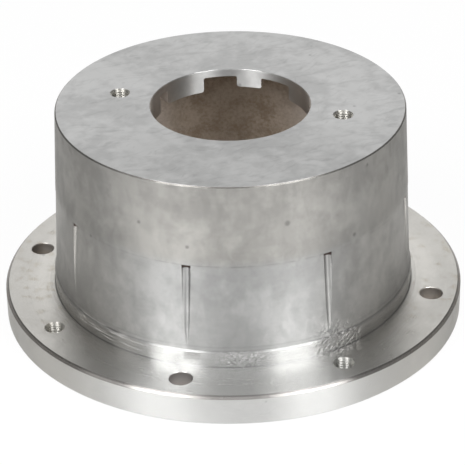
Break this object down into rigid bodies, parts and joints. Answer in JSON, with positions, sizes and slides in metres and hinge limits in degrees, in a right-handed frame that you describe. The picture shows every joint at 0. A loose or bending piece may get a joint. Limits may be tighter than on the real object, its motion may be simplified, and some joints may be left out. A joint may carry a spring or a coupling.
{
  "type": "pump bell housing",
  "caption": "Round cast bell with a wide drilled base flange and a bored, tapped top face, joining a hydraulic pump to an electric motor.",
  "frame": {"origin": "centre of the motor face, at the foot of the housing", "axes": "+Z along the bore axis towards the pump face, +X through one of the two threaded holes beside the bore"},
  "size_m": [0.3, 0.3, 0.143],
  "materials": {
    "machined_aluminium": "turned satin outside with faint scratches, rough cast inside"
  },
  "bodies": {
    "root": {"bell_housing": "machined_aluminium"}
  },
  "joints": []
}
